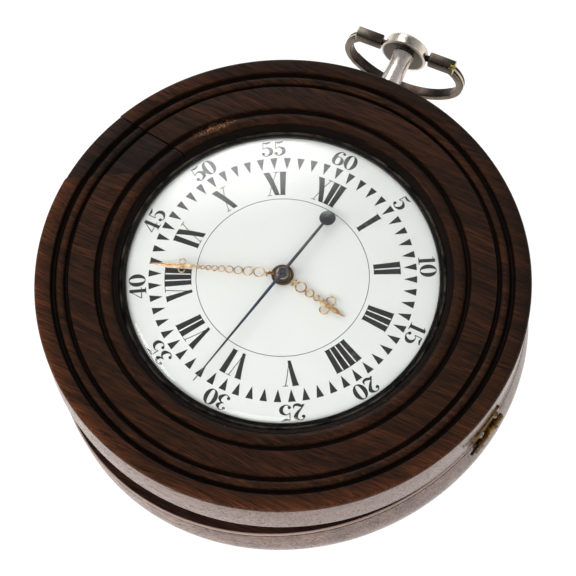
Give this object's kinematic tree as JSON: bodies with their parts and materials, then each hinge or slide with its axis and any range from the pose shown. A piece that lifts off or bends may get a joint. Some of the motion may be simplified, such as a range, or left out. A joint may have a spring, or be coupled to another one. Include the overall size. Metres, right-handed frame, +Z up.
{
  "type": "coach clock",
  "caption": "Coach clock: a large silver watch with a white enamel dial and domed glass, held in a hinged round case of turned dark wood, standing a little open.",
  "frame": {"origin": "centre of the flat foot of the wooden bowl, on the surface it stands on", "axes": "+Z up; +Y towards twelve o'clock and the pendant, +X towards three o'clock, both seen from above with the case shut"},
  "size_m": [0.154, 0.1773, 0.0735],
  "materials": {
    "dark_wood": "waxed, turned",
    "repair_wood": "waxed, duller than the wood round it",
    "red_leather": "smooth, glued",
    "hinge_brass": "worn",
    "dark_steel": "browned",
    "brass_screws": "worn",
    "silver": "polished silver, lightly tarnished",
    "tarnished_silver": "tarnished silver",
    "clear_glass": "polished",
    "white_enamel": "fired gloss",
    "copper": "plain",
    "gilt_plate": "fire gilt, matt",
    "gilt_hands": "pierced and gilt",
    "blued_steel": "blued",
    "wheel_brass": "polished",
    "bright_steel": "polished",
    "spring_steel": "dark"
  },
  "bodies": {
    "bowl": {"case_bowl": "dark_wood", "bowl_lining": "red_leather", "hinge_lower_leaf": "hinge_brass", "hinge_pin": "dark_steel", "hinge_lower_screws": "dark_steel", "catch_stud": "hinge_brass"},
    "front": {"front_ring": "dark_wood", "ring_let_in_piece": "repair_wood", "hinge_upper_leaf": "hinge_brass", "hinge_upper_screws": "brass_screws", "catch_screw": "dark_steel", "silver_case": "silver", "silver_bezel": "silver", "watch_glass": "clear_glass", "pendant_stem": "tarnished_silver", "pendant_head": "tarnished_silver", "dial": "white_enamel", "dial_feet": "copper", "pillar_plate": "gilt_plate", "pillars": "gilt_plate", "top_plate": "gilt_plate", "top_plate_pins": "bright_steel", "barrel_arbor": "bright_steel", "ratchet_wheel": "bright_steel", "ratchet_click": "bright_steel", "balance_spring": "blued_steel", "balance_cock": "gilt_plate", "cock_screw": "blued_steel"},
    "hook": {"catch_hook": "hinge_brass"},
    "bow": {"bow": "tarnished_silver"},
    "minute": {"minute_hand": "gilt_hands", "cannon_pinion": "bright_steel", "centre_wheel": "wheel_brass"},
    "hour": {"hour_hand": "gilt_hands", "hour_wheel": "wheel_brass"},
    "motion": {"minute_wheel": "wheel_brass"},
    "barrel": {"mainspring_barrel": "wheel_brass", "mainspring": "spring_steel"},
    "third": {"third_wheel": "wheel_brass"},
    "seconds": {"seconds_hand": "blued_steel", "seconds_arbor": "wheel_brass"},
    "escape": {"escape_wheel": "wheel_brass"},
    "balance": {"balance_wheel": "wheel_brass"}
  },
  "joints": [
    {"name": "case_hinge", "type": "hinge", "parent": "bowl", "child": "front", "pos_m": [0.07505, -0.01377, 0.0301], "axis": [0.1805, 0.9836, 0], "range_deg": [-10.5, 84.5]},
    {"name": "hook_swing", "type": "hinge", "parent": "front", "child": "hook", "pos_m": [-0.07065, 0.01297, 0.06305], "axis": [-0.9671, 0.1775, 0.1822], "range_deg": [-14, 84]},
    {"name": "bow_swing", "type": "hinge", "parent": "front", "child": "bow", "pos_m": [-0.00267, 0.0987, 0.04335], "axis": [0.9833, 0.0379, -0.178], "range_deg": [-65.72, 250.28]},
    {"name": "seconds_arbor", "type": "hinge", "parent": "front", "child": "seconds", "pos_m": [-0.00414, 0.00076, 0.01441], "axis": [0.1792, -0.0329, 0.9833], "continuous": true},
    {"name": "centre_arbor", "type": "hinge", "parent": "front", "child": "minute", "pos_m": [-0.00414, 0.00076, 0.01441], "axis": [0.1792, -0.0329, 0.9833], "continuous": true},
    {"name": "hour_pipe", "type": "hinge", "parent": "front", "child": "hour", "pos_m": [-0.00414, 0.00076, 0.01441], "axis": [0.1792, -0.0329, 0.9833], "continuous": true},
    {"name": "minute_wheel_stud", "type": "hinge", "parent": "front", "child": "motion", "pos_m": [-0.00943, 0.00717, 0.01559], "axis": [0.1792, -0.0329, 0.9833], "continuous": true},
    {"name": "barrel_turn", "type": "hinge", "parent": "front", "child": "barrel", "pos_m": [-0.02423, -0.00672, 0.01782], "axis": [0.1792, -0.0329, 0.9833], "continuous": true},
    {"name": "third_arbor", "type": "hinge", "parent": "front", "child": "third", "pos_m": [0.00041, 0.01335, 0.014], "axis": [0.1792, -0.0329, 0.9833], "continuous": true},
    {"name": "escape_arbor", "type": "hinge", "parent": "front", "child": "escape", "pos_m": [0.00579, -0.00769, 0.01232], "axis": [0.1792, -0.0329, 0.9833], "continuous": true},
    {"name": "balance_staff", "type": "hinge", "parent": "front", "child": "balance", "pos_m": [0.01046, -0.01167, 0.01133], "axis": [0.1792, -0.0329, 0.9833], "range_deg": [-135, 135], "stiffness_Nm_per_rad": 0.00005}
  ],
  "couplings": [
    {"joint": "centre_arbor", "follows": "seconds_arbor", "ratio": 0.016667},
    {"joint": "hour_pipe", "follows": "seconds_arbor", "ratio": 0.0013889},
    {"joint": "minute_wheel_stud", "follows": "seconds_arbor", "ratio": -0.0055556},
    {"joint": "barrel_turn", "follows": "seconds_arbor", "ratio": -0.0027778},
    {"joint": "third_arbor", "follows": "seconds_arbor", "ratio": -0.125},
    {"joint": "escape_arbor", "follows": "seconds_arbor", "ratio": -10}
  ]
}
